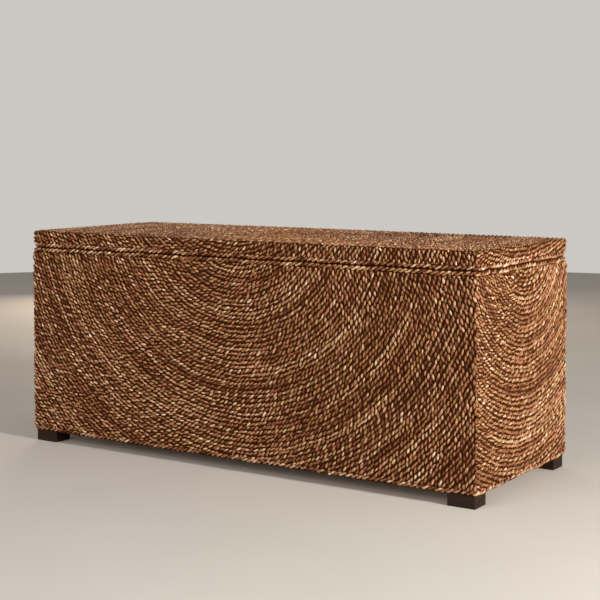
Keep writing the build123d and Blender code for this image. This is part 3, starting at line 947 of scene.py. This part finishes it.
def make_rope(points, rng):
    """A rope of two twisted strips laid along a path."""
    length = sum((Vector(b) - Vector(a)).length for a, b in zip(points, points[1:]))
    lays = max(1, round(length / EDGE_LAY))
    strips = [make_strip(lays), make_strip(lays)]
    for strip in strips:
        map_strip(strip)
        tone_strip(strip, rng)
    strips[1].rotation_euler = (math.pi, 0, 0)
    apply_place(strips[1])
    rope = join("rope", strips)
    wobble(rope)
    rope.scale = (length / (lays * EDGE_LAY), 1, 1)
    apply_place(rope)
    path = path_curve(points)
    bend = rope.modifiers.new("bend", "CURVE")
    bend.object = path
    bend.deform_axis = "POS_X"
    bpy.ops.object.modifier_apply(modifier="bend")
    bpy.data.objects.remove(path)
    rope.data.materials.append(edge_rope)
    rope.data.shade_smooth()
    return join("rope", [rope, make_core(points)])


# %% Lay the three edge ropes
ROPE_CORNER = ROPE_SPACE / 2
CORNER_STEPS = 5
HINGE_ROOM = 0.6 * MM
CLOSING_GAP = 0.1 * MM


def corner_points(middle_x, middle_y, start, height):
    """Points on a quarter circle, counter-clockwise from a starting angle in quarter turns."""
    angles = [(start + step / CORNER_STEPS) * math.pi / 2 for step in range(CORNER_STEPS + 1)]
    return [
        (middle_x + ROPE_CORNER * math.cos(a), middle_y + ROPE_CORNER * math.sin(a), height) for a in angles
    ]


def run_round(half_x, half_y, height, start_x, end_x):
    """A path from one place on the back edge, round the left, front and right sides, to another."""
    inner_x, inner_y = half_x - ROPE_CORNER, half_y - ROPE_CORNER
    points = [(start_x, half_y, height)]
    corners = ((-inner_x, inner_y, 1), (-inner_x, -inner_y, 2), (inner_x, -inner_y, 3), (inner_x, inner_y, 0))
    for middle_x, middle_y, start in corners:
        points += corner_points(middle_x, middle_y, start, height)
    return points + [(end_x, half_y, height)]


def hinge_gaps():
    """Where the hinge leaves are along the back, from left to right."""
    gaps = []
    for place in ("left", "centre", "right"):
        low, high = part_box(f"hinge_body_leaf_{place}")
        gaps.append((low.x - HINGE_ROOM, high.x + HINGE_ROOM))
    return gaps


def edge_paths(node, hinged):
    """The runs of rope that stand for one edge rope of the frame."""
    low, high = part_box(node)
    radius = (high.z - low.z) / 2
    half_x, half_y, height = high.x - radius, high.y - radius, (low.z + high.z) / 2
    if not hinged:
        return [run_round(half_x, half_y, height, -CLOSING_GAP, CLOSING_GAP)]
    left, centre, right = hinge_gaps()
    return [
        run_round(half_x, half_y, height, left[0], right[1]),
        [(left[1], half_y, height), (centre[0], half_y, height)],
        [(centre[1], half_y, height), (right[0], half_y, height)],
    ]


EDGE_ROPES = {
    "bottom_edge_rope": ("trunk_body", False, 31),
    "body_rim_rope": ("trunk_body", True, 32),
    "lid_rim_rope": ("lid", True, 33),
}
for node_name, (body, hinged, seed) in EDGE_ROPES.items():
    rng = np.random.default_rng(seed)
    rope = join(f"twisted_{node_name}", [make_rope(points, rng) for points in edge_paths(node_name, hinged)])
    finish_piece(rope, body, "edge_rope", node_name)
    print(rope.name, len(rope.data.polygons), "faces")

# %% [markdown]
# ## Floor and light
#
# A plain pale floor, which ends in a far edge against a pale sky. A small soft light from the right
# rakes across the front, so that every lump throws a small shadow. A broad one in front fills those
# shadows, and a low, warm one behind, hidden from the camera, keeps the back from going black.

# %% Floor, lights and sky
FLOOR_REACH = 4.3
FLOOR_DEEP, FLOOR_PALE = (0.51, 0.45, 0.39), (0.57, 0.51, 0.44)


def floor_finish():
    """Pale matt paint with a faint mottle."""
    finish = Finish("floor", Roughness=0.8, Specular_IOR_Level=0.15)
    cloud = finish.noise(finish.object_place(), scale=3.0, detail=4.0)
    finish.set("Base Color", finish.mix(cloud, (*FLOOR_DEEP, 1), (*FLOOR_PALE, 1)))
    return finish.material


start_clean()
bpy.ops.mesh.primitive_circle_add(vertices=96, radius=FLOOR_REACH, fill_type="NGON")
floor = bpy.context.active_object
floor.name = "floor"
floor.data.materials.append(floor_finish())


def soft_light(name, place, aim, size, power, colour):
    """A square area light that looks at a point."""
    start_clean()
    bpy.ops.object.light_add(type="AREA", location=place)
    light = bpy.context.active_object
    light.name = name
    light.rotation_euler = (Vector(aim) - Vector(place)).to_track_quat("-Z", "Y").to_euler()
    light.data.size = size
    light.data.energy = power
    light.data.color = colour
    return light


COOL_WHITE, COOLER_WHITE, WARM_WHITE = (0.96, 1.0, 1.02), (0.95, 0.98, 1.02), (1.0, 0.88, 0.74)
soft_light("key", (3.15, -0.6, 1.15), aim=(0.1, 0, 0.2), size=0.4, power=150, colour=COOL_WHITE)
soft_light("fill", (-0.4, -3.0, 1.25), aim=(0, 0, 0.2), size=2.0, power=61, colour=COOLER_WHITE)
back = soft_light("back", (-2.0, 2.4, 0.62), aim=(0, 0, 0.3), size=1.0, power=30, colour=WARM_WHITE)
back.visible_camera = False

SKY_SHOWN = (0.60, 0.58, 0.55, 1)
SKY_LIGHT = (0.33, 0.325, 0.32, 1)


def pale_sky():
    """A sky that looks pale but lights the trunk only gently, so that shadows stay deep."""
    world = bpy.data.worlds.new("sky")
    world.use_nodes = True
    tree = world.node_tree
    path = tree.nodes.new("ShaderNodeLightPath")
    shade = tree.nodes.new("ShaderNodeMix")
    shade.data_type = "RGBA"
    shade.inputs[6].default_value = SKY_LIGHT
    shade.inputs[7].default_value = SKY_SHOWN
    tree.links.new(path.outputs["Is Camera Ray"], shade.inputs["Factor"])
    tree.links.new(shade.outputs[2], tree.nodes["Background"].inputs["Color"])
    return world


bpy.context.scene.world = pale_sky()
bpy.context.scene.view_settings.view_transform = "Standard"
print("floor and lights placed")

# %% [markdown]
#
# The finished looks stand a few millimetres proud of the CAD model's box, as the rope does, and no more.

# %% Finish
start_clean()
